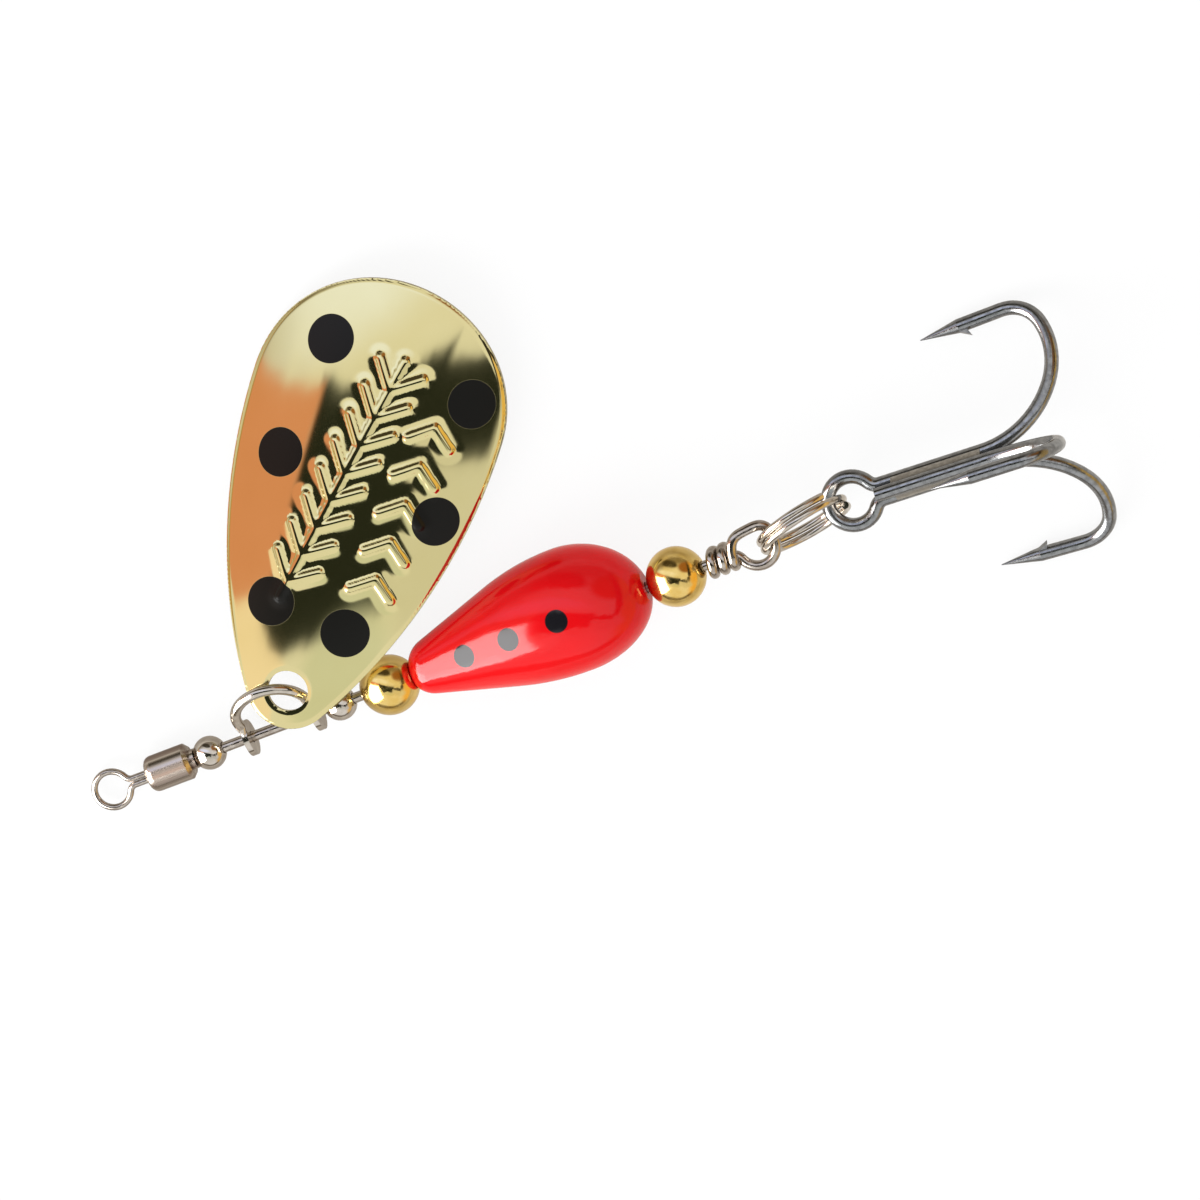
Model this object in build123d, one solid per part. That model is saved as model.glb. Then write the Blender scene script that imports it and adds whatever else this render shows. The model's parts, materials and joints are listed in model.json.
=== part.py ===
from build123d import *
import os
from math import asin, cos, degrees, radians, sin, sqrt, tan

os.makedirs("parts", exist_ok=True)

# An inline spinner. Lengths are in millimetres and angles in degrees.
# Every piece is first made along the shaft: the shaft's axis is the X axis, the line eye is at -X
# and the hook at +X, and X = 0 is the middle of the swivel barrel. At the end the whole lure is
# laid down as it lies on a table, with its origin under the middle of its box.

# Fits
running_gap = 0.05        # between a wire or pin and the hole that it turns in
rest_gap = 0.04           # between pieces that lean on each other
wire_gap = 0.02           # between two stretches of one bent wire that lie side by side
overshoot = 1.0           # by which a cutting tool passes the face that it cuts

# Shaft wire, with its head in the barrel and its open loop at the rear
shaft_wire = 0.70
shaft_head_diameter = 1.36
shaft_head_length = 0.45
loop_radius = 1.30        # of the wire's centre line
loop_entry_radius = 0.70
loop_offset = 0.30        # from the last turn of the wrap to the front of the loop
wrap_turns = 2.5
wrap_pitch = 0.74

# Line eye: a wire ring whose two ends run side by side into the barrel
eye_wire = 0.43
eye_radius = 1.22
eye_neck_length = 1.10    # of the straight pair, outside the barrel
eye_entry_radius = 0.50
eye_head_diameter = 1.36
eye_head_length = 0.40

# Swivel barrel
barrel_diameter = 2.45
barrel_length = 3.10
barrel_wall = 0.40
barrel_shoulder = 0.50    # length of the domed front shoulder
barrel_chamfer = 0.27
collar_diameter = 1.34
collar_length = 0.33

# Beads
small_bead_diameter = 2.25
large_bead_diameter = 4.00
bead_flat = 0.16          # width of the flat ring round each end of a bore

# Free wire between the pieces that are threaded on the shaft
clevis_play = 1.75
rear_bead_play = 0.54
brass_bead_play = 0.70
body_play = 0.05
rear_brass_play = 0.20

# Clevis
clevis_wire = 0.72
clevis_span = 4.87        # between the middles of its two pierced ends
clevis_leg = 1.75         # from the shaft's axis to where the bow begins
tab_radius = 1.22
tab_thickness = 0.38
tab_throat = 1.50         # width of the flattened wire where it leaves the tab
tab_neck = 0.80           # height of that place above the axis
clevis_flare = 0.25       # length of round leg above the throat

# Blade
blade_length = 30.6
blade_width = 17.06
blade_thickness = 0.45
blade_toe_radius = 2.95   # of the rounded small end
blade_flank_radius = 38.0
blade_cross_radius = 15.5
blade_long_radius = 90.0
blade_hole = 2.70
blade_hole_inset = 2.55   # from the tip of the small end to the middle of the hole
blade_station = 40.0      # where the hole hangs on the bow, round from the rear leg
blade_trim = 2.0          # width of the sheet that is cut away round the outline

# Body
body_length = 16.75
body_diameter = 8.36
body_nose_diameter = 1.90
body_tail_diameter = 2.00
body_belly = 11.55        # from the nose to the widest place
body_taper = 16.6         # half-angle of the conical front
body_arc_radius = 17.5    # of the long arc between the cone and the widest place
body_nose_round = 1.10    # length of the rounding behind the nose
body_bulge = 0.10         # share by which the blade's side is fuller and the other side flatter

# Split ring
ring_diameter = 6.60
ring_wire = 0.50
ring_turns = 1.9
ring_turn_gap = 0.04
ring_cut = 60.0           # where the wire's ends are, round the ring
ring_hang = 2.15          # from the middle of the loop's rear wire to the ring's middle

# Treble hook
hook_wire = 0.95
hook_eye_radius = 1.63
hook_eye_entry_radius = 0.80
shank_pitch = 0.60        # from the treble's axis to the middle of each shank
shank_length = 9.15       # from the middle of the eye to the start of the bend
bend_radii = (6.30, 4.97, 2.30)
bend_turns = (60.0, 50.0, 73.0)
spear_length = 3.00
point_length = 2.70
point_tip_radius = 0.03
barb_setback = 1.95       # from the tip to the front of the barb
barb_length = 1.45
barb_overhang = 0.36      # by which the barb's free end stands back over its root
barb_height = 0.42
barb_thickness = 0.34
single_shank_start = 1.75
lower_azimuths = (-30.0, 210.0)  # of the double hook's two hooks, round the treble's axis
upper_azimuth = 84.0      # brazed a little off the middle
hook_hang = 1.10          # from the ring's wire to the middle of the eye's front wire
braze_radius = 0.80
braze_length = 6.20

# How the lure lies on the table
nose_down = 5.7           # slope of the shaft, with the line eye lowest
clevis_lean = 42.0        # of the bow above the plane that holds the shaft and the table's Y axis
blade_heading = 51.2      # of the blade's long axis round from the shaft
blade_dip = -0.95         # of the blade's hole axis towards the blade's wide end
blade_roll = -2.0         # of the blade about its long axis
ring_droop = 23.6         # of the line through the ring, below the shaft's axis
ring_yaw = 5.0
ring_roll = -18.0         # of the ring about the line through its middle
hook_yaw = -3.1
hook_pitch = 1.45         # of the treble's axis below the shaft's axis


# --- Sizes that follow from those above ---------------------------------------------------------

bore = shaft_wire + 2 * running_gap


def bead_half_length(diameter):
    """Half of the length that a bead takes up along the shaft."""
    end_radius = bore / 2 + bead_flat
    return sqrt((diameter / 2) ** 2 - end_radius**2)


barrel_front = -barrel_length / 2
barrel_rear = barrel_length / 2 + collar_length
front_bead_x = barrel_rear + rest_gap + bead_half_length(small_bead_diameter)
clevis_front_x = front_bead_x + bead_half_length(small_bead_diameter) + clevis_play + tab_thickness / 2
clevis_rear_x = clevis_front_x + clevis_span
rear_bead_x = clevis_rear_x + tab_thickness / 2 + rear_bead_play + bead_half_length(small_bead_diameter)
front_brass_x = (
    rear_bead_x
    + bead_half_length(small_bead_diameter)
    + brass_bead_play
    + bead_half_length(large_bead_diameter)
)
body_front_x = front_brass_x + sqrt((large_bead_diameter / 2) ** 2 - (body_nose_diameter / 2) ** 2) + body_play
body_rear_x = body_front_x + body_length
rear_brass_x = body_rear_x + rear_brass_play + bead_half_length(large_bead_diameter)
wrap_radius = shaft_wire + wire_gap
wrap_front_x = rear_brass_x + bead_half_length(large_bead_diameter) + rest_gap + shaft_wire / 2
wrap_rear_x = wrap_front_x + wrap_turns * wrap_pitch
loop_x = wrap_rear_x + loop_offset + loop_radius
hook_eye_drop = -shank_pitch * sin(radians(lower_azimuths[0]))
ring_pitch = ring_wire + ring_turn_gap
# The ring's two turns lie a little to one side of its middle where the hook's eye goes round them.
ring_pair_shift = -ring_pitch * ((3 - ring_turns) / 2 - ring_cut / 360)


# --- Helpers ------------------------------------------------------------------------------------

def round_wire(edges, diameter):
    """Solid wire of a round section along joined edges."""
    path = Wire(edges)
    start = Plane(origin=path @ 0, z_dir=path % 0)
    return sweep(start * Circle(diameter / 2), path=path)


def rod(diameter, x_start, x_end):
    """Round rod about the shaft's axis."""
    return Plane.YZ.offset(x_start) * extrude(Circle(diameter / 2), amount=x_end - x_start)


def neck_start(ring_radius, entry_radius, half_gap):
    """Where the straight neck of a pinched ring begins, from the ring's middle."""
    reach = ring_radius + entry_radius
    return sqrt(reach**2 - (half_gap + entry_radius) ** 2)


def pinched_ring(ring_radius, entry_radius, half_gap):
    """Edges of a ring round the origin that closes to a neck of two parallel lines towards +X."""
    neck_x = neck_start(ring_radius, entry_radius, half_gap)
    share = ring_radius / (ring_radius + entry_radius)
    touch_x = neck_x * share
    touch_y = (half_gap + entry_radius) * share
    lower_entry = TangentArc((neck_x, -half_gap), (touch_x, -touch_y), tangent=(-1, 0))
    upper_entry = TangentArc((neck_x, half_gap), (touch_x, touch_y), tangent=(-1, 0))
    ring = ThreePointArc((touch_x, -touch_y), (-ring_radius, 0), (touch_x, touch_y))
    return [lower_entry, ring, upper_entry]


# --- Swivel and shaft ---------------------------------------------------------------------------

def swivel_barrel():
    """Swaged tube with a domed front shoulder, a chamfered rear end and a collar."""
    outer = barrel_diameter / 2
    inner = outer - barrel_wall
    front_hole = eye_wire + wire_gap / 2 + running_gap
    rear_hole = bore / 2
    dome_x = barrel_front + barrel_shoulder
    rear_x = barrel_length / 2
    dome = EllipticalCenterArc((dome_x, inner), barrel_shoulder, barrel_wall, start_angle=90, arc_size=90)
    outline = Polyline(
        (barrel_front, inner),
        (barrel_front, front_hole),
        (barrel_front + barrel_wall, front_hole),
        (barrel_front + barrel_wall, inner),
        (rear_x - barrel_wall, inner),
        (rear_x - barrel_wall, rear_hole),
        (barrel_rear, rear_hole),
        (barrel_rear, collar_diameter / 2),
        (rear_x, collar_diameter / 2),
        (rear_x, outer - barrel_chamfer),
        (rear_x - barrel_chamfer, outer),
        (dome_x, outer),
    )
    return revolve(make_face([dome, outline]), axis=Axis.X)


def line_eye():
    """Wire ring with a two-wire neck that ends in a head inside the barrel."""
    half_gap = (eye_wire + wire_gap) / 2
    neck_x = neck_start(eye_radius, eye_entry_radius, half_gap)
    ring_x = barrel_front - eye_neck_length - neck_x
    head_front = barrel_front + barrel_wall + rest_gap
    head_rear = head_front + eye_head_length
    place = Pos(ring_x, 0, 0)
    edges = [place * edge for edge in pinched_ring(eye_radius, eye_entry_radius, half_gap)]
    first_leg = Line((head_rear, -half_gap), (ring_x + neck_x, -half_gap))
    second_leg = Line((ring_x + neck_x, half_gap), (head_rear, half_gap))
    wire = round_wire([first_leg, *edges, second_leg], eye_wire)
    return wire + rod(eye_head_diameter, head_front, head_rear)


def shaft():
    """Shaft wire: head, straight run, open loop, and the wrap back round itself."""
    head_rear = barrel_length / 2 - barrel_wall - rest_gap
    head_front = head_rear - shaft_head_length
    reach = loop_radius + loop_entry_radius
    bend_x = loop_x - sqrt(reach**2 - loop_entry_radius**2)
    share = loop_entry_radius / reach
    touch = (bend_x + share * (loop_x - bend_x), -loop_entry_radius * (1 - share))
    rear = (loop_x + loop_radius, 0)
    turns = Helix(wrap_pitch, wrap_turns * wrap_pitch, wrap_radius, direction=(-1, 0, 0), lefthand=True)
    wrap = Pos(wrap_rear_x, 0, 0) * Rot(X=180) * turns
    run = Line((head_front, 0), (bend_x, 0))
    entry = TangentArc((bend_x, 0), touch, tangent=(1, 0))
    lower = ThreePointArc(touch, (loop_x, -loop_radius), rear)
    upper = Spline(
        (*rear, 0),
        ((rear[0] + wrap_rear_x) / 2, loop_radius, wrap_radius / 2),
        wrap @ 0,
        tangents=((0, 1, 0), wrap % 0),
    )
    wire = round_wire([run, entry, lower, upper, wrap.edge()], shaft_wire)
    return wire + rod(shaft_head_diameter, head_front, head_rear)


# --- Beads and body -----------------------------------------------------------------------------

def bead(diameter, x):
    """Bored ball with a narrow flat round each end of the bore."""
    half = bead_half_length(diameter)
    ball = Sphere(diameter / 2) & Box(2 * half, diameter, diameter)
    return Pos(x, 0, 0) * ball - rod(bore, x - diameter, x + diameter)


def body():
    """Teardrop with a seat for the bead at its nose, fuller on the blade's side than on the other."""
    widest = body_diameter / 2
    nose = body_nose_diameter / 2
    tail = body_tail_diameter / 2
    belly_x = body_front_x + body_belly
    taper = radians(body_taper)
    arc_start = (belly_x - body_arc_radius * sin(taper), widest - body_arc_radius * (1 - cos(taper)))
    cone_x = body_front_x + body_nose_round
    cone_start = (cone_x, arc_start[1] - (arc_start[0] - cone_x) * tan(taper))
    tail_angle = degrees(asin(tail / widest))
    tail_reach = (body_rear_x - belly_x) / cos(radians(tail_angle))
    outline = [
        Line((body_front_x, 0), (body_front_x, nose)),
        TangentArc(cone_start, (body_front_x, nose), tangent=(-cos(taper), -sin(taper))),
        Line(cone_start, arc_start),
        TangentArc(arc_start, (belly_x, widest), tangent=(cos(taper), sin(taper))),
        EllipticalCenterArc(
            (belly_x, 0), tail_reach, widest, start_angle=tail_angle, arc_size=90 - tail_angle
        ),
        Line((body_rear_x, tail), (body_rear_x, 0)),
        Line((body_rear_x, 0), (body_front_x, 0)),
    ]
    whole = revolve(make_face(outline), axis=Axis.X)
    near_half = scale(split(whole, bisect_by=Plane.XZ, keep=Keep.BOTTOM), by=(1, 1 + body_bulge, 1))
    far_half = scale(split(whole, bisect_by=Plane.XZ, keep=Keep.TOP), by=(1, 1 - body_bulge, 1))
    seat = Pos(front_brass_x, 0, 0) * Sphere(large_bead_diameter / 2 + body_play)
    return near_half + far_half - rod(bore, body_front_x - overshoot, body_rear_x + overshoot) - seat


# --- Clevis and blade ---------------------------------------------------------------------------

def clevis_upright():
    """Clevis with its bow straight up: two pierced tabs, throats and a round bow."""
    middle = (clevis_front_x + clevis_rear_x) / 2
    bow_radius = clevis_span / 2
    leg_start = clevis_leg - clevis_flare
    front_leg = Line((clevis_front_x, 0, leg_start), (clevis_front_x, 0, clevis_leg))
    bow = ThreePointArc(
        (clevis_front_x, 0, clevis_leg),
        (middle, 0, clevis_leg + bow_radius),
        (clevis_rear_x, 0, clevis_leg),
    )
    rear_leg = Line((clevis_rear_x, 0, clevis_leg), (clevis_rear_x, 0, leg_start))
    clevis = round_wire([front_leg, bow, rear_leg], clevis_wire)
    for x in (clevis_front_x, clevis_rear_x):
        tab = Plane.YZ.offset(x - tab_thickness / 2) * extrude(Circle(tab_radius), amount=tab_thickness)
        throat = loft(
            [
                Plane.XY.offset(tab_neck) * Pos(x, 0) * Ellipse(tab_thickness / 2, tab_throat / 2),
                Plane.XY.offset(leg_start) * Pos(x, 0) * Circle(clevis_wire / 2),
            ]
        )
        clevis = clevis + (tab + throat)
    return clevis - rod(bore, clevis_front_x - overshoot, clevis_rear_x + overshoot)


def blade_outline():
    """Egg-shaped outline, with the middle of the hole at its origin and its wide end at +X."""
    toe = blade_toe_radius
    heel = blade_width / 2
    toe_x = toe - blade_hole_inset
    heel_x = blade_length - blade_hole_inset - heel
    # The flank's arc touches the toe's and the heel's circles from outside, so its middle is as far
    # from theirs as the flank's radius is larger.
    toe_reach = blade_flank_radius - toe
    heel_reach = blade_flank_radius - heel
    spacing = heel_x - toe_x
    along = (toe_reach**2 - heel_reach**2 + spacing**2) / (2 * spacing)
    across = sqrt(toe_reach**2 - along**2)
    flank_x = toe_x + along
    toe_touch = (toe_x - toe * along / toe_reach, toe * across / toe_reach)
    heel_touch = (heel_x + heel * (heel_x - flank_x) / heel_reach, heel * across / heel_reach)
    flank_middle = (
        (toe_touch[0] + heel_touch[0]) / 2 - flank_x,
        (toe_touch[1] + heel_touch[1]) / 2 + across,
    )
    stretch = blade_flank_radius / sqrt(flank_middle[0] ** 2 + flank_middle[1] ** 2)
    crest = (flank_x + flank_middle[0] * stretch, -across + flank_middle[1] * stretch)
    mirrored = [(x, -y) for x, y in (toe_touch, crest, heel_touch)]
    edges = [
        ThreePointArc(mirrored[0], (toe_x - toe, 0), toe_touch),
        ThreePointArc(toe_touch, crest, heel_touch),
        ThreePointArc(heel_touch, (heel_x + heel, 0), mirrored[2]),
        ThreePointArc(mirrored[2], mirrored[1], mirrored[0]),
    ]
    return make_face(edges)


def blade_flat():
    """Dished sheet with its hole round the Z axis and its outer face through the origin."""
    # The sheet is a band of an arc across the blade, turned about a distant axis below it.
    ring = Circle(blade_cross_radius) - Circle(blade_cross_radius - blade_thickness)
    band = Pos(0, -blade_cross_radius) * ring
    band &= Rectangle(blade_width + 2 * blade_trim, blade_cross_radius, align=(Align.CENTER, Align.MAX))
    toe_turn = degrees((blade_hole_inset + blade_trim) / blade_long_radius)
    heel_turn = degrees((blade_length - blade_hole_inset + blade_trim) / blade_long_radius)
    spin_axis = Axis((0, 0, -blade_long_radius), (0, 1, 0))
    sheet = revolve(Plane.YZ * band, axis=spin_axis, revolution_arc=toe_turn + heel_turn)
    sheet = sheet.rotate(spin_axis, -toe_turn)
    # The outline is cut square to the chord from end to end, which leans from the hole's own axis.
    chord_lean = degrees((blade_length / 2 - blade_hole_inset) / blade_long_radius)
    cutter = Rot(Y=chord_lean) * extrude(blade_outline(), amount=blade_length / 2, both=True)
    hole = Cylinder(blade_hole / 2, blade_length)
    return sheet & (cutter - hole)


# --- Split ring and treble hook -----------------------------------------------------------------

def split_ring_upright():
    """Two turns of wire in the XZ plane, round the origin."""
    height = ring_turns * ring_pitch
    radius = (ring_diameter - ring_wire) / 2
    coil = Helix(ring_pitch, height, radius, center=(0, 0, -height / 2))
    return Rot(X=90) * Rot(Z=ring_cut) * round_wire([coil.edge()], ring_wire)


def hook_plane(azimuth):
    """Plane of one hook, with its x along the treble's axis and its y outwards."""
    angle = radians(azimuth)
    return Plane(origin=(0, 0, 0), x_dir=(1, 0, 0), z_dir=(0, -sin(angle), cos(angle)))


def hook_edges(azimuth, start_x):
    """Edges of one hook's wire, from the front of its shank to the end of its round spear."""
    edges = [Line((start_x, shank_pitch), (shank_length, shank_pitch))]
    for radius, turn in zip(bend_radii, bend_turns):
        edges.append(JernArc(edges[-1] @ 1, edges[-1] % 1, radius, turn))
    end = edges[-1] @ 1
    edges.append(Line(end, end + spear_length * (edges[-1] % 1)))
    return [hook_plane(azimuth) * edge for edge in edges]


def hook_tip(azimuth):
    """Tapered point of one hook, with the barb raised from its inner side."""
    spear = hook_edges(azimuth, 0)[-1]
    direction = spear % 1
    base = Plane(origin=spear @ 1, z_dir=direction)
    tip = base.offset(point_length)
    point = loft([base * Circle(hook_wire / 2), tip * Circle(point_tip_radius)])
    # In this plane the tip is the origin, x runs back along the spear and y goes into the gap.
    inner = Plane(origin=tip.origin, x_dir=-direction, z_dir=-hook_plane(azimuth).z_dir)
    free_end = barb_setback + barb_length
    outline = Polyline(
        (barb_setback, 0),
        (free_end, hook_wire / 2 + barb_height),
        (free_end - barb_overhang, 0),
        close=True,
    )
    barb = extrude(inner * make_face(outline), amount=barb_thickness / 2, both=True)
    return point + barb


def double_hook():
    """One wire: hook, shank, eye, shank, hook. The eye lies flat, in the plane of both shanks."""
    half_gap = shank_pitch * cos(radians(lower_azimuths[0]))
    neck_x = neck_start(hook_eye_radius, hook_eye_entry_radius, half_gap)
    place = Pos(0, 0, -hook_eye_drop)
    eye = [place * edge for edge in pinched_ring(hook_eye_radius, hook_eye_entry_radius, half_gap)]
    edges = hook_edges(lower_azimuths[1], neck_x)[::-1] + eye + hook_edges(lower_azimuths[0], neck_x)
    wire = round_wire(edges, hook_wire)
    for azimuth in lower_azimuths:
        wire = wire + hook_tip(azimuth)
    return wire


def single_hook():
    """Third hook, whose straight shank ends just behind the eye."""
    return round_wire(hook_edges(upper_azimuth, single_shank_start), hook_wire) + hook_tip(upper_azimuth)


def braze_seam():
    """Solder that fills the valleys between the three shanks."""
    section = Circle(braze_radius)
    for azimuth in (*lower_azimuths, upper_azimuth):
        angle = radians(azimuth)
        section -= Pos(shank_pitch * cos(angle), shank_pitch * sin(angle)) * Circle(hook_wire / 2)
    start = shank_length - braze_length
    return Plane.YZ.offset(start) * extrude(section, amount=braze_length)


# --- Laying the pieces together ------------------------------------------------------------------

def clevis_place():
    return Rot(X=clevis_lean - 90)


def bow_point():
    """Middle of the wire where the blade's hole hangs on the bow."""
    bow_radius = clevis_span / 2
    station = radians(blade_station)
    x = (clevis_front_x + clevis_rear_x) / 2 + bow_radius * cos(station)
    height = clevis_leg + bow_radius * sin(station)
    return clevis_place() * Pos(x, 0, height)


def blade_place():
    at = bow_point().position
    turned = Rot(Z=blade_heading) * Rot(X=blade_roll) * Rot(Y=blade_dip)
    return Pos(at) * turned * Pos(0, 0, blade_thickness / 2)


def ring_place():
    """The ring hangs inside the loop's rear wire and leans towards the hook."""
    turned = Rot(Z=ring_yaw) * Rot(Y=ring_droop) * Rot(X=ring_roll)
    return Pos(loop_x + loop_radius, 0, 0) * turned * Pos(ring_hang, 0, 0)


def hook_pivot():
    """Middle of the ring's two turns on its far side, with the Z axis along them."""
    return ring_place() * Pos((ring_diameter - ring_wire) / 2, ring_pair_shift, 0)


def hook_place():
    """The hook's eye hangs round the far side of the ring."""
    turned = Rot(Z=hook_yaw) * Rot(Y=hook_pitch)
    return Pos(hook_pivot().position) * turned * Pos(hook_eye_radius - hook_hang, 0, hook_eye_drop)


pieces = {
    "line_eye": line_eye(),
    "swivel_barrel": swivel_barrel(),
    "shaft_wire": shaft(),
    "front_bead": bead(small_bead_diameter, front_bead_x),
    "clevis": clevis_place() * clevis_upright(),
    "blade": blade_place() * blade_flat(),
    "rear_bead": bead(small_bead_diameter, rear_bead_x),
    "front_brass_bead": bead(large_bead_diameter, front_brass_x),
    "body": body(),
    "rear_brass_bead": bead(large_bead_diameter, rear_brass_x),
    "split_ring": ring_place() * split_ring_upright(),
    "double_hook": hook_place() * double_hook(),
    "single_hook": hook_place() * single_hook(),
    "braze_seam": hook_place() * braze_seam(),
}

laid = {name: Rot(Y=-nose_down) * piece for name, piece in pieces.items()}
boxes = [piece.bounding_box() for piece in laid.values()]
middle_x = (min(box.min.X for box in boxes) + max(box.max.X for box in boxes)) / 2
middle_y = (min(box.min.Y for box in boxes) + max(box.max.Y for box in boxes)) / 2
bottom = min(box.min.Z for box in boxes)
lay_down = Pos(-middle_x, -middle_y, -bottom) * Rot(Y=-nose_down)

for name, piece in pieces.items():
    export_step(lay_down * piece, f"parts/{name}.step")
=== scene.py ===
import json
import math

import bpy
import numpy as np
from mathutils import Matrix, Vector


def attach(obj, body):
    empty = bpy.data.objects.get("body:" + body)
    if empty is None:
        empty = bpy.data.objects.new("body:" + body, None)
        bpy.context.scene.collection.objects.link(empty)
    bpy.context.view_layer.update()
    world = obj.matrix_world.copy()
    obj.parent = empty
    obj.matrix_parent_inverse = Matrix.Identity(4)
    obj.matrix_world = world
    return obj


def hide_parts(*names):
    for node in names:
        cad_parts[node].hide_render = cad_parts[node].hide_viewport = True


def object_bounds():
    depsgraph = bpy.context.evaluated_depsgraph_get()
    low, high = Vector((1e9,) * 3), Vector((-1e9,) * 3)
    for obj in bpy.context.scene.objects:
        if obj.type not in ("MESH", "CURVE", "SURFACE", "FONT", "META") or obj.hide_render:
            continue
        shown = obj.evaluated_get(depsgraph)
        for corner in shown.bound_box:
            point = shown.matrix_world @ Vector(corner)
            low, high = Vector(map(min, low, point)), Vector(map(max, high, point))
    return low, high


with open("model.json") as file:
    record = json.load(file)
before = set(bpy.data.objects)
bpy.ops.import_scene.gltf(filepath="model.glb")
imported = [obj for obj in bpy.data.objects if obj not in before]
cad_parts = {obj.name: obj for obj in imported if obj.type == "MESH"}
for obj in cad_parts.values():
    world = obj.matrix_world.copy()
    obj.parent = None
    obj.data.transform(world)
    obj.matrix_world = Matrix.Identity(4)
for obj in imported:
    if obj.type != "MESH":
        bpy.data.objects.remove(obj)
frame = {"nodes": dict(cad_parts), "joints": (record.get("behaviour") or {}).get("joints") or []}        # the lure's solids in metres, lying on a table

mm = 0.001
solids = frame["nodes"]
startBounds = [list(corner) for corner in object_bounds()]
print("frame loaded with", len(solids), "pieces")


# small tools

def selectOnly(*objects):
    if bpy.context.object and bpy.context.object.mode != "OBJECT":
        bpy.ops.object.mode_set(mode="OBJECT")
    bpy.ops.object.select_all(action="DESELECT")
    for item in objects:
        item.select_set(True)
    if objects:
        bpy.context.view_layer.objects.active = objects[0]


def pickVertices(item, test):
    # leaves the item in edit mode with the vertices that pass the test selected
    bpy.ops.object.mode_set(mode="EDIT")
    bpy.ops.mesh.select_mode(type="VERT")
    bpy.ops.mesh.select_all(action="DESELECT")
    bpy.ops.object.mode_set(mode="OBJECT")
    for vertex in item.data.vertices:
        vertex.select = test(vertex.co)
    bpy.ops.object.mode_set(mode="EDIT")


def pickFaces(item, test):
    # the same for faces, by the direction that they look
    bpy.ops.object.mode_set(mode="EDIT")
    bpy.ops.mesh.select_mode(type="FACE")
    bpy.ops.mesh.select_all(action="DESELECT")
    bpy.ops.object.mode_set(mode="OBJECT")
    for face in item.data.polygons:
        face.select = test(face.normal)
    bpy.ops.object.mode_set(mode="EDIT")


def addModifier(item, name, kind, **settings):
    modifier = item.modifiers.new(name, kind)
    for key, value in settings.items():
        setattr(modifier, key, value)
    bpy.ops.object.modifier_apply(modifier=name)


def hexToLinear(code):
    channels = [int(code[i:i + 2], 16) / 255 for i in (1, 3, 5)]
    return [c / 12.92 if c <= 0.04045 else ((c + 0.055) / 1.055) ** 2.4 for c in channels] + [1]


def addNode(tree, kind, settings=None, values=None, links=None):
    node = tree.nodes.new(kind)
    for key, value in (settings or {}).items():
        setattr(node, key, value)
    for socket, value in (values or {}).items():
        node.inputs[socket].default_value = value
    for socket, source in (links or {}).items():
        tree.links.new(source, node.inputs[socket])
    return node


def startMaterial(name, metallic, roughness):
    material = bpy.data.materials.new(name)
    material.use_nodes = True
    tree = material.node_tree
    shader = tree.nodes["Principled BSDF"]
    shader.inputs["Metallic"].default_value = metallic
    shader.inputs["Roughness"].default_value = roughness
    where = addNode(tree, "ShaderNodeTexCoord").outputs["Object"]
    return material, tree, shader, where


mixFirst, mixSecond, mixResult = 6, 7, 2    # the sockets of a colour mix
noiseSpan = {"From Min": 0.38, "From Max": 0.62}    # noise hardly leaves these values


def roughenBy(tree, shader, where, grain, low, high):
    # roughness that wanders between low and high, in patches as wide as grain
    noise = addNode(tree, "ShaderNodeTexNoise", values={"Scale": 1 / grain, "Detail": 4},
                    links={"Vector": where})
    spread = addNode(tree, "ShaderNodeMapRange",
                     values={"From Min": 0.35, "From Max": 0.65, "To Min": low, "To Max": high},
                     links={"Value": noise.outputs["Fac"]})
    tree.links.new(spread.outputs["Result"], shader.inputs["Roughness"])


def tintBy(tree, shader, where, grain, first, second):
    # base colour that wanders between two tones
    noise = addNode(tree, "ShaderNodeTexNoise", values={"Scale": 1 / grain, "Detail": 3},
                    links={"Vector": where})
    spread = addNode(tree, "ShaderNodeMapRange", values=noiseSpan, links={"Value": noise.outputs["Fac"]})
    tone = addNode(tree, "ShaderNodeMix", {"data_type": "RGBA"},
                   {mixFirst: hexToLinear(first), mixSecond: hexToLinear(second)},
                   {"Factor": spread.outputs["Result"]})
    tree.links.new(tone.outputs[mixResult], shader.inputs["Base Color"])


def bumpBy(tree, shader, where, grain, depth, detail=3):
    noise = addNode(tree, "ShaderNodeTexNoise", values={"Scale": 1 / grain, "Detail": detail},
                    links={"Vector": where})
    bump = addNode(tree, "ShaderNodeBump", values={"Strength": 1, "Distance": depth},
                   links={"Height": noise.outputs["Fac"]})
    tree.links.new(bump.outputs["Normal"], shader.inputs["Normal"])


def spotMask(tree, where, centres, radius, softness):
    # 1 inside any of the printed spots, 0 outside
    mask = None
    for centre in centres:
        apart = addNode(tree, "ShaderNodeVectorMath", {"operation": "DISTANCE"}, {1: centre}, {0: where})
        inside = addNode(tree, "ShaderNodeMapRange",
                         values={"From Min": radius + softness, "From Max": radius - softness},
                         links={"Value": apart.outputs["Value"]}).outputs["Result"]
        if mask is not None:
            inside = addNode(tree, "ShaderNodeMath", {"operation": "MAXIMUM"},
                             links={0: mask, 1: inside}).outputs["Value"]
        mask = inside
    return mask


# camera

camera = {
    "azimuth": 138.6,       # degrees round the lure
    "elevation": 76.7,
    "roll": -161.1,
    "distance": 1.0,        # metres
    "lens": 461.7,          # millimetres, on a 36 mm sensor
    "clipStart": 10 * mm,
    "right": 4.6225 * mm,   # how far the lens stands off the lure's middle
    "up": -6.061 * mm,
}


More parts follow.
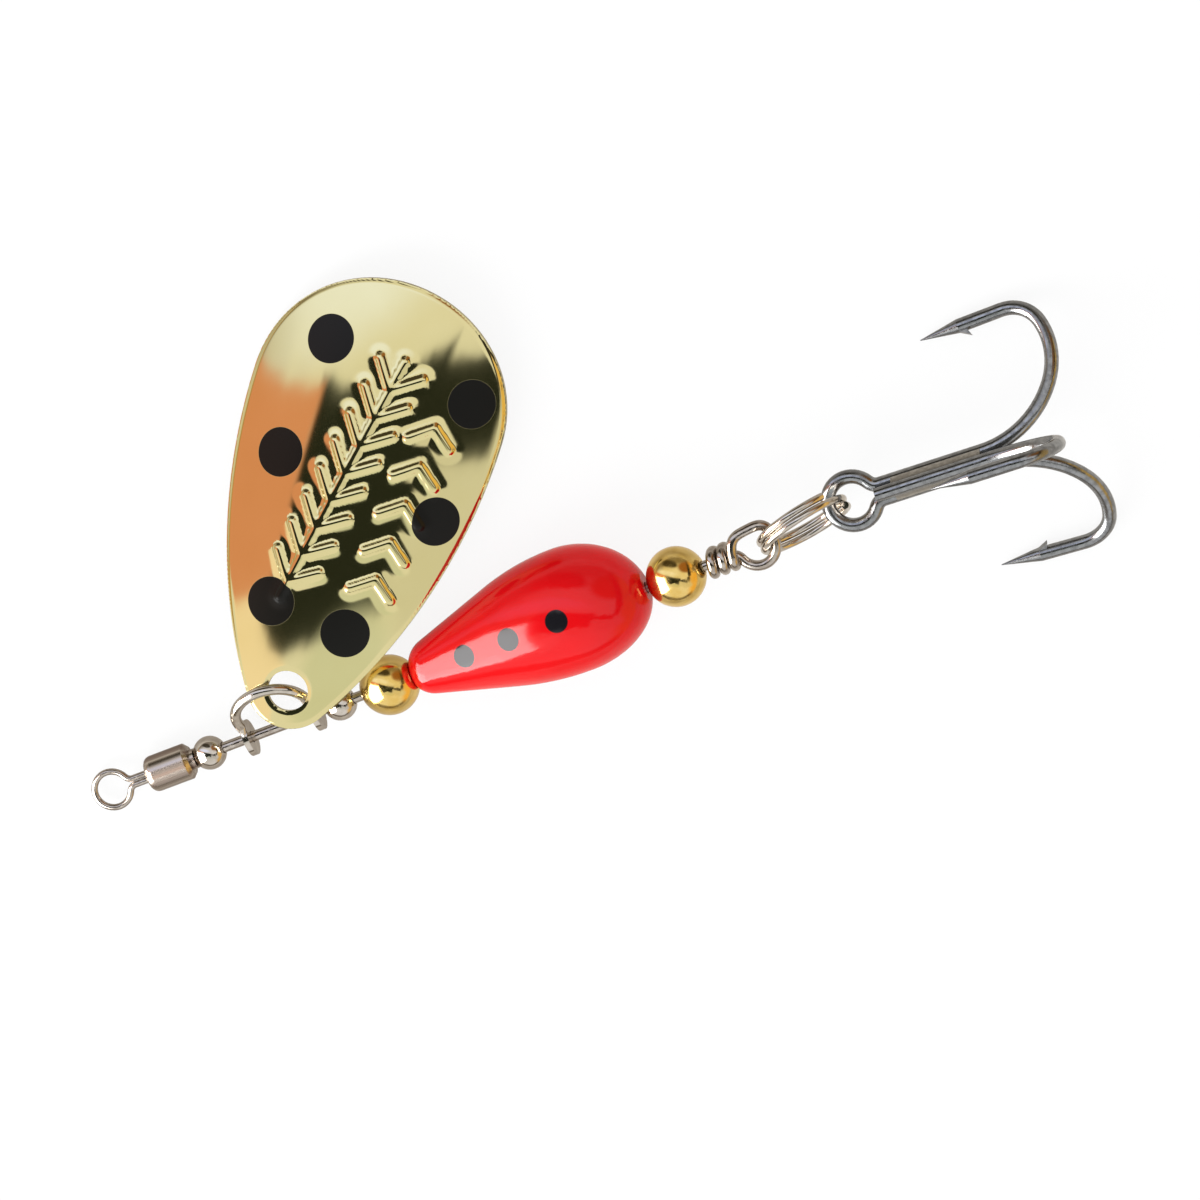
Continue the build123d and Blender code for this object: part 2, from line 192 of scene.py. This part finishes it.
def makeCamera():
    turn = (Matrix.Rotation(math.radians(camera["azimuth"]), 4, "Z")
            @ Matrix.Rotation(math.radians(90 - camera["elevation"]), 4, "X")
            @ Matrix.Rotation(math.radians(camera["roll"]), 4, "Z"))
    right, up, back = [turn.to_3x3() @ Vector(axis) for axis in ((1, 0, 0), (0, 1, 0), (0, 0, 1))]
    low, high = [Vector(corner) for corner in startBounds]
    middle = (low + high) / 2
    place = middle + back * camera["distance"] + right * camera["right"] + up * camera["up"]
    lens = bpy.data.cameras.new("camera")
    lens.lens = camera["lens"]
    lens.clip_start = camera["clipStart"]
    item = bpy.data.objects.new("camera", lens)
    item.matrix_world = Matrix.Translation(place) @ turn
    bpy.context.scene.collection.objects.link(item)
    bpy.context.scene.camera = item
    return middle, right, up, back


middle, lensRight, lensUp, lensBack = makeCamera()
print("camera placed")


# studio: a white room with soft lamps, and grey, brown and salmon patches that only reflections show:
# painted reflections for the polished metal

studio = {
    "worldLight": 0.85,     # on all that isn't a mirror
    "floorSize": 1.6,
    "floorShadow": 0.12,    # share of the floor's own shading that shows over the white
    "floorTonesInReflections": ("#A0968A", "#E8E2D8"),    # painted reflection: mottled greys that polished metal mirrors in the floor, which the lens sees white
    "floorPatch": 30 * mm,
    "floorWhite": 0.94,
    "ragWidth": 0.2,        # waves in the patches' edges, as shares of the room's radius
    "ragDepth": 4,
    # each patch: place right of and above the lens axis, width and height, turn, all in degrees;
    # then its colour and strength, how soft and how ragged its edge is, and 1 if it has corners
    "paintedReflections": {
        "ceiling": (-5, 98, 168, 104, 0, "#9A9286", 1, 0.35, 0.04, 0),
        "upperDark": (-26, 50, 56, 28, -20, "#4A4438", 1, 0.45, 0.04, 0),
        "brownWall": (36, 36, 56, 40, 10, "#A87440", 1, 0.45, 0.04, 0),
        "goldWall": (-106, -14, 44, 90, 0, "#D8B068", 1, 0.40, 0.04, 0),
        "rightGold": (86, 4, 64, 100, 0, "#E8BE6C", 1.3, 0.40, 0.04, 0),
        "rightDark": (50, 12, 12, 84, 0, "#3A352A", 1, 0.60, 0.04, 0),
        "lowDark": (18, -98, 76, 18, 0, "#8A8276", 1, 0.40, 0.04, 0),
        "skylight": (-34, 14, 74, 15, -12, "#DBE3FF", 1.6, 0.90, 0.04, 0),
        "oliveWall": (36, -29, 54, 24, -14, "#EFEFEC", 1, 0.50, 0.04, 0),
        "darkCentre": (-17, -15.2, 57, 24, -9.5, "#2B2F27", 1, 0.12, 0.04, 1),
        "darkTail": (24, -15.6, 40, 9, -13, "#2B2F27", 1, 0.25, 0.06, 1),
        "toeShade": (-2, -35, 36, 13, -10, "#EBF1EC", 1, 0.50, 0.04, 0),
        "leftWindow": (-80, -54, 56, 30, 14, "#FFFFFF", 5, 0.20, 0.00, 1),
        "toeLight": (-50, -28, 34, 22, -30, "#FFEEE2", 1.2, 0.12, 0.04, 1),
        "salmon": (-64, -0.5, 42, 17, -13, "#F4A888", 1, 0.18, 0.03, 1),
    },
    "horizon": (0.12, 0.25, "#5E5140"),    # heights between which the far wall's dark foot fades out
    # lamps: place right of and above the lens axis in degrees, size in metres, turn in degrees, watts
    "lampDistance": 0.30,
    "softBox": (-45, -50, 0.30, 0.16, 0, 0.75),
    "window": (-72, -39, 0.42, 0.30, 14, 3.6),
}


def lookFrom(right, up):
    # the direction so many degrees right of and above the lens axis, and its two side directions
    tilt = math.radians(math.hypot(right, up))
    clock = math.atan2(up, right)
    outwards = math.cos(clock) * lensRight + math.sin(clock) * lensUp
    around = math.cos(clock) * lensUp - math.sin(clock) * lensRight
    centre = math.cos(tilt) * lensBack + math.sin(tilt) * outwards
    outwards = math.cos(tilt) * outwards - math.sin(tilt) * lensBack
    side = math.cos(clock) * outwards - math.sin(clock) * around
    top = math.sin(clock) * outwards + math.cos(clock) * around
    return centre, side, top


def paintPatch(tree, look, noise, before, patch):
    right, up, width, height, turn, colour, strength, soft, ragged, corners = patch
    centre, side, top = lookFrom(right, up)
    angle = math.radians(turn)
    across = (math.cos(angle) * side + math.sin(angle) * top) / math.sin(math.radians(width / 2))
    upwards = (math.cos(angle) * top - math.sin(angle) * side) / math.sin(math.radians(height / 2))
    shares = []
    for axis in (across, upwards, centre):
        share = addNode(tree, "ShaderNodeVectorMath", {"operation": "DOT_PRODUCT"}, {1: axis}, {0: look})
        shares.append(share.outputs["Value"])
    if corners:
        sizes = [addNode(tree, "ShaderNodeMath", {"operation": "ABSOLUTE"}, links={0: share})
                 for share in shares[:2]]
        away = addNode(tree, "ShaderNodeMath", {"operation": "MAXIMUM"},
                       links={0: sizes[0].outputs["Value"], 1: sizes[1].outputs["Value"]})
    else:
        pair = addNode(tree, "ShaderNodeCombineXYZ", links={0: shares[0], 1: shares[1]})
        away = addNode(tree, "ShaderNodeVectorMath", {"operation": "LENGTH"},
                       links={0: pair.outputs["Vector"]})
    away = addNode(tree, "ShaderNodeMath", {"operation": "MULTIPLY_ADD"}, {1: ragged},
                   {0: noise, 2: away.outputs["Value"]})
    inside = addNode(tree, "ShaderNodeMapRange", {"interpolation_type": "SMOOTHSTEP"},
                     {"From Min": 1 + soft / 2, "From Max": 1 - soft / 2}, {"Value": away.outputs["Value"]})
    ahead = addNode(tree, "ShaderNodeMath", {"operation": "GREATER_THAN"}, {1: 0}, {0: shares[2]})
    inside = addNode(tree, "ShaderNodeMath", {"operation": "MULTIPLY"},
                     links={0: inside.outputs["Result"], 1: ahead.outputs["Value"]})
    glow = [strength * channel for channel in hexToLinear(colour)]
    mix = addNode(tree, "ShaderNodeMix", {"data_type": "RGBA"}, {mixSecond: glow},
                  {"Factor": inside.outputs["Value"], mixFirst: before})
    return mix.outputs[mixResult]


def makeRoom():
    world = bpy.data.worlds.new("room")
    bpy.context.scene.world = world
    world.use_nodes = True
    tree = world.node_tree
    look = addNode(tree, "ShaderNodeTexCoord").outputs["Generated"]
    grain = addNode(tree, "ShaderNodeTexNoise", values={"Scale": 1 / studio["ragWidth"], "Detail": 3},
                    links={"Vector": look})
    noise = addNode(tree, "ShaderNodeMath", {"operation": "SUBTRACT"}, {1: 0.5}, {0: grain.outputs["Fac"]})
    noise = addNode(tree, "ShaderNodeMath", {"operation": "MULTIPLY"}, {1: studio["ragDepth"]},
                    {0: noise.outputs["Value"]})
    low, high, colour = studio["horizon"]
    height = addNode(tree, "ShaderNodeSeparateXYZ", links={0: look}).outputs["Z"]
    foot = addNode(tree, "ShaderNodeMapRange", {"interpolation_type": "SMOOTHSTEP"},
                   {"From Min": high, "From Max": low}, {"Value": height})
    paintedWalls = addNode(tree, "ShaderNodeMix", {"data_type": "RGBA"},
                    {mixFirst: hexToLinear("#FFFFFF"), mixSecond: hexToLinear(colour)},
                    {"Factor": foot.outputs["Result"]}).outputs[mixResult]
    for patch in studio["paintedReflections"].values():
        paintedWalls = paintPatch(tree, look, noise.outputs["Value"], paintedWalls, patch)
    path = addNode(tree, "ShaderNodeLightPath")
    eye = addNode(tree, "ShaderNodeMath", {"operation": "MAXIMUM"},
                  links={0: path.outputs["Is Camera Ray"], 1: path.outputs["Is Transmission Ray"]})
    level = addNode(tree, "ShaderNodeMapRange", values={"To Min": studio["worldLight"], "To Max": 1},
                    links={"Value": eye.outputs["Value"]}).outputs["Result"]
    plain = addNode(tree, "ShaderNodeCombineColor", links={0: level, 1: level, 2: level})
    # painted reflections: glossy rays see the dark foot and the painted patches, while the lens and matt
    # surfaces see a plain level
    mix = addNode(tree, "ShaderNodeMix", {"data_type": "RGBA"},
                  links={"Factor": path.outputs["Is Glossy Ray"], mixFirst: plain.outputs["Color"],
                         mixSecond: paintedWalls})
    tree.links.new(mix.outputs[mixResult], tree.nodes["Background"].inputs["Color"])


def makeFloor():
    selectOnly()
    bpy.ops.mesh.primitive_plane_add(size=studio["floorSize"], location=(0, 0, 0))
    floor = bpy.context.object
    floor.name = "floor"
    material = bpy.data.materials.new("pale floor")
    material.use_nodes = True
    tree = material.node_tree
    output = tree.nodes["Material Output"]
    tree.nodes.remove(tree.nodes["Principled BSDF"])
    where = addNode(tree, "ShaderNodeTexCoord").outputs["Object"]
    noise = addNode(tree, "ShaderNodeTexNoise", values={"Scale": 1 / studio["floorPatch"], "Detail": 3},
                    links={"Vector": where})
    spread = addNode(tree, "ShaderNodeMapRange", values=noiseSpan, links={"Value": noise.outputs["Fac"]})
    dark, pale = [hexToLinear(colour) for colour in studio["floorTonesInReflections"]]
    tone = addNode(tree, "ShaderNodeMix", {"data_type": "RGBA"}, {mixFirst: dark, mixSecond: pale},
                   {"Factor": spread.outputs["Result"]})
    white = studio["floorWhite"]
    matt = addNode(tree, "ShaderNodeBsdfDiffuse", values={"Color": (white, white, white, 1)})
    # painted reflection: the floor glows in these darker tones only for glossy rays
    glow = addNode(tree, "ShaderNodeEmission", links={"Color": tone.outputs[mixResult]})
    clear = addNode(tree, "ShaderNodeBsdfTransparent")    # shows the white, and what hangs below the floor
    path = addNode(tree, "ShaderNodeLightPath")
    eye = addNode(tree, "ShaderNodeMath", {"operation": "MAXIMUM"},
                  links={0: path.outputs["Is Camera Ray"], 1: path.outputs["Is Transmission Ray"]})
    share = {"To Max": 1 - studio["floorShadow"]}
    mirrored = addNode(tree, "ShaderNodeMapRange", None, share, {"Value": path.outputs["Is Glossy Ray"]})
    seen = addNode(tree, "ShaderNodeMapRange", None, share, {"Value": eye.outputs["Value"]})
    inMetal = addNode(tree, "ShaderNodeMixShader",
                      links={0: mirrored.outputs["Result"], 1: matt.outputs[0], 2: glow.outputs[0]})
    inLens = addNode(tree, "ShaderNodeMixShader",
                     links={0: seen.outputs["Result"], 1: inMetal.outputs[0], 2: clear.outputs[0]})
    tree.links.new(inLens.outputs[0], output.inputs["Surface"])
    floor.data.materials.append(material)


def makeLamp(name, right, up, width, height, turn, power):
    centre, side, top = lookFrom(right, up)
    lamp = bpy.data.lights.new(name, "AREA")
    lamp.shape = "RECTANGLE"
    lamp.size = width
    lamp.size_y = height
    lamp.energy = power
    item = bpy.data.objects.new(name, lamp)
    axes = Matrix((side, top, centre)).transposed() @ Matrix.Rotation(math.radians(turn), 3, "Z")
    item.matrix_world = Matrix.Translation(middle + studio["lampDistance"] * centre) @ axes.to_4x4()
    bpy.context.scene.collection.objects.link(item)
    return item


makeRoom()
makeFloor()
softBox = makeLamp("softBox", *studio["softBox"])    # for the matt colours
softBox.visible_glossy = False
window = makeLamp("window", *studio["window"])       # for the gloss
window.visible_diffuse = False
bpy.context.scene.view_settings.view_transform = "Standard"
print("studio lit")


# where the blade is: its hole's axis, and its long axis from the hole to the wide end

def bladePlace():
    hinge = next(joint for joint in frame["joints"] if joint["name"] == "blade_swing")
    hole = Vector(hinge["pos_m"])
    outwards = Vector(hinge["axis"]).normalized()
    total = Vector()
    weight = 0
    for face in solids["blade"].data.polygons:
        total += face.center * face.area
        weight += face.area
    along = total / weight - hole
    along = (along - outwards * along.dot(outwards)).normalized()
    across = outwards.cross(along)
    return Matrix.Translation(hole) @ Matrix((along, across, outwards)).transposed().to_4x4()


# blade: a spun brass sheet, pressed with an ornament and cut to its outline

blade = {
    "length": 30.6 * mm,
    "width": 17.06 * mm,
    "thickness": 0.45 * mm,
    "holeInset": 2.55 * mm,
    "crossRadius": 15.5 * mm,
    "longRadius": 90 * mm,
    "spare": 1.2 * mm,       # sheet round the outline before it is cut
    "smoothAngle": 35,
    "step": 0.11 * mm,       # width of the mesh's faces
    "reliefHeight": 0.24 * mm,
    "leastWeight": 0.002,
    "ribWidth": 0.33 * mm,
    "haloWidth": 0.95 * mm,
    "haloShare": 0.30,
    "edgeWidth": 0.32 * mm,
    "edgeDrop": 0.08 * mm,
    "steepest": 0.3,         # upward part of a normal that still belongs to the sheet's top
    "cutterHeight": 24 * mm,
    # the ornament, in millimetres along and across the sheet from its hole, and degrees
    "featherStem": ((5.9, 2.2), (23.0, -1.2)),
    "featherBarbs": 8,
    "firstBarb": 0.6,        # steps from the stem's foot
    "barbLength": 2.2,
    "barbAngle": 46,
    "chevronLine": ((8.9, -3.5), (19.4, -4.3)),
    "chevrons": 5,
    "chevronReach": 1.35,
    "chevronLean": 0.8,
    # the printed spots, in the same measure
    "spots": ((22.8, 4.0), (21.4, -6.1), (14.8, 5.0), (13.5, -6.1), (5.4, 2.7), (4.9, -2.6)),
    "spotRadius": 1.63 * mm,
    "spotSoftness": 0.012 * mm,
}


def reliefLines():
    # the ornament's ribs: a feather and a row of chevrons
    lines = []
    start, end = [np.array(point) for point in blade["featherStem"]]
    stem = (end - start) / np.linalg.norm(end - start)
    lines.append((start, end))
    for number in range(blade["featherBarbs"]):
        share = (number + blade["firstBarb"]) / (blade["featherBarbs"] + blade["firstBarb"])
        root = start + (end - start) * share
        for side in (-1, 1):
            angle = math.radians(side * blade["barbAngle"])
            lean = np.array([stem[0] * math.cos(angle) - stem[1] * math.sin(angle),
                             stem[0] * math.sin(angle) + stem[1] * math.cos(angle)])
            lines.append((root, root + lean * blade["barbLength"]))
    start, end = [np.array(point) for point in blade["chevronLine"]]
    row = (end - start) / np.linalg.norm(end - start)
    side = np.array([-row[1], row[0]])
    for number in range(blade["chevrons"]):
        tip = start + (end - start) * number / (blade["chevrons"] - 1)
        for way in (-1, 1):
            arm = way * side - blade["chevronLean"] * row
            lines.append((tip, tip + blade["chevronReach"] * arm))
    return lines


def distances(points, lines):
    nearest = np.full(len(points), np.inf)
    for start, end in lines:
        run = end - start
        share = np.clip((points - start) @ run / max(run @ run, 1e-12), 0, 1)
        nearest = np.minimum(nearest, np.linalg.norm(points - start - share[:, None] * run, axis=1))
    return nearest * mm


def reliefWeights(points):
    # 1 along the ribs' tops, falling to their feet and on down a wide low swell
    nearest = distances(points, reliefLines())
    rib = np.sqrt(np.clip(1 - (nearest / blade["ribWidth"]) ** 2, 0, 1))
    swell = np.clip(1 - nearest / blade["haloWidth"], 0, 1)
    swell = swell * swell * (3 - 2 * swell)
    return (1 - blade["haloShare"]) * rib + blade["haloShare"] * swell


def edgeWeights(points, cutter):
    # 1 at the outline, where the punch rolled the sheet's edge over, and 0 further in
    lines = []
    for face in cutter.data.polygons:
        corners = [cutter.data.vertices[index].co for index in face.vertices]
        ends = {(round(corner.x / mm, 3), round(corner.y / mm, 3)) for corner in corners}
        if abs(face.normal.z) < blade["steepest"] and len(ends) == 2:    # an upright wall
            lines.append([np.array(end) for end in ends])
    return np.clip(1 - distances(points, lines) / blade["edgeWidth"], 0, 1) ** 2


def addWeights(item, name, weights):
    group = item.vertex_groups.new(name=name)
    for index in np.nonzero(weights > blade["leastWeight"])[0]:
        group.add([int(index)], float(weights[index]), "REPLACE")


def cutterPrism(place):
    # a tall block with the outline and the hole of the blade's solid
    cutter = solids["blade"].copy()
    cutter.data = solids["blade"].data.copy()
    cutter.parent = None
    bpy.context.scene.collection.objects.link(cutter)
    chordLean = (blade["length"] / 2 - blade["holeInset"]) / blade["longRadius"]
    square = place @ Matrix.Rotation(chordLean, 4, "Y")
    cutter.data.transform(square.inverted())
    selectOnly(cutter)
    bpy.ops.object.mode_set(mode="EDIT")
    bpy.ops.mesh.select_all(action="SELECT")
    bpy.ops.mesh.remove_doubles(threshold=0.0001 * mm)
    pickFaces(cutter, lambda normal: normal.z < blade["steepest"])
    bpy.ops.mesh.delete(type="FACE")
    bpy.ops.mesh.select_all(action="SELECT")
    bpy.ops.transform.resize(value=(1, 1, 0))
    bpy.ops.mesh.extrude_region_move(TRANSFORM_OT_translate={"value": (0, 0, blade["cutterHeight"])})
    bpy.ops.mesh.select_all(action="SELECT")
    bpy.ops.transform.translate(value=(0, 0, -blade["cutterHeight"] / 2))
    bpy.ops.mesh.normals_make_consistent(inside=False)
    bpy.ops.object.mode_set(mode="OBJECT")
    return cutter, square


def makeBlade():
    place = bladePlace()
    cross, long = blade["crossRadius"], blade["longRadius"]
    selectOnly()
    around = round(2 * math.pi * cross / blade["step"])
    bpy.ops.mesh.primitive_circle_add(vertices=around, radius=cross,
                                      location=(0, 0, -cross), rotation=(0, math.pi / 2, 0))
    sheet = bpy.context.object
    sheet.name = "blade_sheet"
    bpy.ops.object.transform_apply(location=True, rotation=True, scale=True)
    reach = (blade["width"] / 2 + blade["spare"]) / cross
    pickVertices(sheet, lambda co: co.z < cross * (math.cos(reach) - 1))
    bpy.ops.mesh.delete(type="VERT")
    bpy.ops.mesh.select_all(action="SELECT")
    toeTurn = (blade["holeInset"] + blade["spare"]) / long
    wholeTurn = toeTurn + (blade["length"] - blade["holeInset"] + blade["spare"]) / long
    bpy.ops.mesh.spin(steps=round(wholeTurn * long / blade["step"]), angle=-wholeTurn,
                      center=(0, 0, -long), axis=(0, 1, 0))
    bpy.ops.mesh.select_all(action="SELECT")
    bpy.ops.mesh.normals_make_consistent(inside=False)
    bpy.ops.object.mode_set(mode="OBJECT")
    if np.mean([vertex.co.x for vertex in sheet.data.vertices]) < 0:
        raise RuntimeError("the sheet was spun the wrong way")
    toAxis = Matrix.Translation((0, 0, -long))
    fromAxis = Matrix.Translation((0, 0, long))
    sheet.data.transform(toAxis @ Matrix.Rotation(-toeTurn, 4, "Y") @ fromAxis)
    if sheet.data.polygons[0].normal.z < 0:
        sheet.data.flip_normals()

    cutter, square = cutterPrism(place)
    points = np.array([vertex.co for vertex in sheet.data.vertices]) / mm
    turn = np.array((square.inverted() @ place).to_3x3())
    addWeights(sheet, "relief", reliefWeights(points[:, :2]))
    addWeights(sheet, "edge", edgeWeights((points @ turn.T)[:, :2], cutter))
    cutter.data.transform(square)
    selectOnly(sheet)
    addModifier(sheet, "press", "DISPLACE", strength=blade["reliefHeight"], mid_level=0,
                vertex_group="relief")
    addModifier(sheet, "ease", "SMOOTH", factor=0.5, iterations=2, vertex_group="relief")
    addModifier(sheet, "roll", "DISPLACE", strength=-blade["edgeDrop"], mid_level=0, vertex_group="edge")
    addModifier(sheet, "wall", "SOLIDIFY", thickness=blade["thickness"], offset=-1)
    sheet.data.transform(place)
    addModifier(sheet, "cut", "BOOLEAN", operation="INTERSECT", object=cutter, solver="EXACT")
    bpy.data.objects.remove(cutter)
    sheet.vertex_groups.clear()
    bpy.ops.object.shade_smooth_by_angle(angle=math.radians(blade["smoothAngle"]))
    print("blade has", len(sheet.data.polygons), "faces")
    return sheet, place


# materials

def polishedGold(place):
    # brass sheet under thin olive gold plate and lacquer: a mirror with a pale green-gold cast
    material, tree, shader, where = startMaterial("polished olive gold plate", 1, 0.07)
    centres = []
    for along, across in blade["spots"]:
        lean = math.asin(across * mm / blade["crossRadius"])
        reach = blade["longRadius"] + blade["crossRadius"] * (math.cos(lean) - 1)
        rise = reach * math.cos(math.asin(along * mm / reach)) - blade["longRadius"]
        centres.append(place @ Vector((along * mm, across * mm, rise)))
    ink = spotMask(tree, where, centres, blade["spotRadius"], blade["spotSoftness"])
    noise = addNode(tree, "ShaderNodeTexNoise", values={"Scale": 1 / (4 * mm), "Detail": 2},
                    links={"Vector": where})
    plate = addNode(tree, "ShaderNodeMix", {"data_type": "RGBA"},
                    {mixFirst: hexToLinear("#E0D5A0"), mixSecond: hexToLinear("#D8CB90")},
                    {"Factor": noise.outputs["Fac"]})
    printed = addNode(tree, "ShaderNodeMix", {"data_type": "RGBA"}, {mixSecond: hexToLinear("#0F0E0B")},
                      {"Factor": ink, mixFirst: plate.outputs[mixResult]})
    metal = addNode(tree, "ShaderNodeMapRange", values={"To Min": 1, "To Max": 0}, links={"Value": ink})
    rough = addNode(tree, "ShaderNodeMapRange", values={"To Min": 0.07, "To Max": 0.30},
                    links={"Value": ink})
    tree.links.new(printed.outputs[mixResult], shader.inputs["Base Color"])
    tree.links.new(metal.outputs["Result"], shader.inputs["Metallic"])
    tree.links.new(rough.outputs["Result"], shader.inputs["Roughness"])
    shader.inputs["Specular IOR Level"].default_value = 0.2    # the ink is nearly matt
    bumpBy(tree, shader, where, 2.5 * mm, 0.004 * mm, detail=1)
    return material


def polishedBrass():
    # solid brass beads, tumbled smooth: warm yellow, and a soft mirror
    material, tree, shader, where = startMaterial("tumbled brass", 1, 0.14)
    tintBy(tree, shader, where, 0.8 * mm, "#EACB7E", "#E3BF6A")
    roughenBy(tree, shader, where, 0.6 * mm, 0.10, 0.20)
    return material


def brightNickel():
    # nickel plate on drawn wire and turned brass: a near mirror with a warm grey cast
    material, tree, shader, where = startMaterial("bright nickel plate", 1, 0.10)
    tintBy(tree, shader, where, 0.5 * mm, "#CFC7BC", "#C2B9AD")
    roughenBy(tree, shader, where, 0.3 * mm, 0.06, 0.16)
    bumpBy(tree, shader, where, 0.5 * mm, 0.006 * mm)
    return material


def darkerNickel():
    # the same plate on the line eye and the shaft, a darker and browner grey
    material, tree, shader, where = startMaterial("darker nickel plate", 1, 0.14)
    tintBy(tree, shader, where, 0.5 * mm, "#BEB5AB", "#A99E93")
    roughenBy(tree, shader, where, 0.3 * mm, 0.10, 0.22)
    return material


def nickelTubeWithPaintedStripes():
    # the swivel's brass tube under thin nickel: a browner base with brown and grey stripes along it, which
    # are painted reflection bands; the roughness follows the same stripes as draw marks
    material, tree, shader, where = startMaterial("nickel tube with painted reflection stripes", 1, 0.22)
    spin = next(joint for joint in frame["joints"] if joint["name"] == "swivel_spin")
    axis = Vector(spin["axis"]).normalized()
    along = addNode(tree, "ShaderNodeVectorMath", {"operation": "DOT_PRODUCT"}, {1: axis}, {0: where})
    lengthways = addNode(tree, "ShaderNodeVectorMath", {"operation": "SCALE"}, {0: axis},
                         {"Scale": along.outputs["Value"]})
    across = addNode(tree, "ShaderNodeVectorMath", {"operation": "SUBTRACT"},
                     links={0: where, 1: lengthways.outputs["Vector"]})
    # painted reflection: noise across the axis draws brown and grey stripes along the tube, mirrored bands
    # painted into its colour
    streaks = addNode(tree, "ShaderNodeTexNoise", values={"Scale": 1 / (0.35 * mm), "Detail": 3},
                      links={"Vector": across.outputs["Vector"]})
    spread = addNode(tree, "ShaderNodeMapRange", values=noiseSpan, links={"Value": streaks.outputs["Fac"]})
    tone = addNode(tree, "ShaderNodeMix", {"data_type": "RGBA"},
                   {mixFirst: hexToLinear("#8C7A6E"), mixSecond: hexToLinear("#C4BAAE")},
                   {"Factor": spread.outputs["Result"]})
    rough = addNode(tree, "ShaderNodeMapRange", values={"To Min": 0.34, "To Max": 0.16},
                    links={"Value": spread.outputs["Result"]})
    tree.links.new(tone.outputs[mixResult], shader.inputs["Base Color"])
    tree.links.new(rough.outputs["Result"], shader.inputs["Roughness"])
    return material


body = {
    # each dot's place along the axis and its distance from it
    "dots": ((-4.06 * mm, 2.79 * mm), (-0.64 * mm, 3.76 * mm), (2.95 * mm, 4.19 * mm)),
    "dotTurn": 10.6,         # degrees round from the top
    "dotRadius": 0.77 * mm,
    "dotSoftness": 0.03 * mm,
}


def redEnamel():
    # dipped gloss enamel: deep red with black dots under the same clear coat
    material, tree, shader, where = startMaterial("red gloss enamel", 0, 0.22)
    spin = next(joint for joint in frame["joints"] if joint["name"] == "body_spin")
    centre = Vector(spin["pos_m"])
    axis = Vector(spin["axis"]).normalized()
    upwards = (Vector((0, 0, 1)) - axis * axis.z).normalized()
    side = upwards.cross(axis)
    dots = []
    for along, radius in body["dots"]:
        for turn in (body["dotTurn"], body["dotTurn"] + 180):
            angle = math.radians(turn)
            outwards = math.cos(angle) * upwards + math.sin(angle) * side
            dots.append(centre + axis * along + radius * outwards)
    ink = spotMask(tree, where, dots, body["dotRadius"], body["dotSoftness"])
    noise = addNode(tree, "ShaderNodeTexNoise", values={"Scale": 1 / (2 * mm), "Detail": 2},
                    links={"Vector": where})
    red = addNode(tree, "ShaderNodeMix", {"data_type": "RGBA"},
                  {mixFirst: hexToLinear("#DF0912"), mixSecond: hexToLinear("#D1070E")},
                  {"Factor": noise.outputs["Fac"]})
    dotted = addNode(tree, "ShaderNodeMix", {"data_type": "RGBA"}, {mixSecond: hexToLinear("#17161A")},
                     {"Factor": ink, mixFirst: red.outputs[mixResult]})
    tree.links.new(dotted.outputs[mixResult], shader.inputs["Base Color"])
    shader.inputs["Specular IOR Level"].default_value = 0    # only the clear coat shines
    shader.inputs["Coat Weight"].default_value = 0.7
    shader.inputs["Coat Roughness"].default_value = 0.12
    return material


def darkNickel():
    # black nickel on forged high-carbon wire: dark grey with soft streaks
    material, tree, shader, where = startMaterial("dark nickel plate", 1, 0.2)
    tintBy(tree, shader, where, 0.4 * mm, "#999A9B", "#828384")
    roughenBy(tree, shader, where, 0.4 * mm, 0.12, 0.28)
    bumpBy(tree, shader, where, 0.4 * mm, 0.008 * mm)
    return material


def dullSolder():
    # hard solder under the same thin plate: duller and lumpier than the wire
    material, tree, shader, where = startMaterial("plated solder", 1, 0.35)
    tintBy(tree, shader, where, 0.3 * mm, "#B0ACA4", "#9C978E")
    roughenBy(tree, shader, where, 0.3 * mm, 0.28, 0.45)
    bumpBy(tree, shader, where, 0.5 * mm, 0.03 * mm)
    return material


finishes = {
    "line_eye": "darkerPlate", "swivel_barrel": "tube", "shaft_wire": "darkerPlate", "front_bead": "nickel",
    "rear_bead": "nickel", "clevis": "nickel", "split_ring": "nickel",
    "front_brass_bead": "brass", "rear_brass_bead": "brass", "body": "enamel",
    "double_hook": "hook", "single_hook": "hook", "braze_seam": "solder",
}


def setMaterial(item, material):
    item.data.materials.clear()
    item.data.materials.append(material)


bladePiece, bladeMatrix = makeBlade()
setMaterial(bladePiece, polishedGold(bladeMatrix))
shade = bpy.data.collections.new("out of the window's light")
shade.objects.link(bladePiece)
window.light_linking.receiver_collection = shade
shade.collection_objects[0].light_linking.link_state = "EXCLUDE"
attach(bladePiece, "blade")
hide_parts("blade")
print("blade made")

materials = {
    "nickel": brightNickel(), "darkerPlate": darkerNickel(), "tube": nickelTubeWithPaintedStripes(), "brass": polishedBrass(),
    "enamel": redEnamel(), "hook": darkNickel(), "solder": dullSolder(),
}
for name, finish in finishes.items():
    setMaterial(solids[name], materials[finish])
print("finishes set")
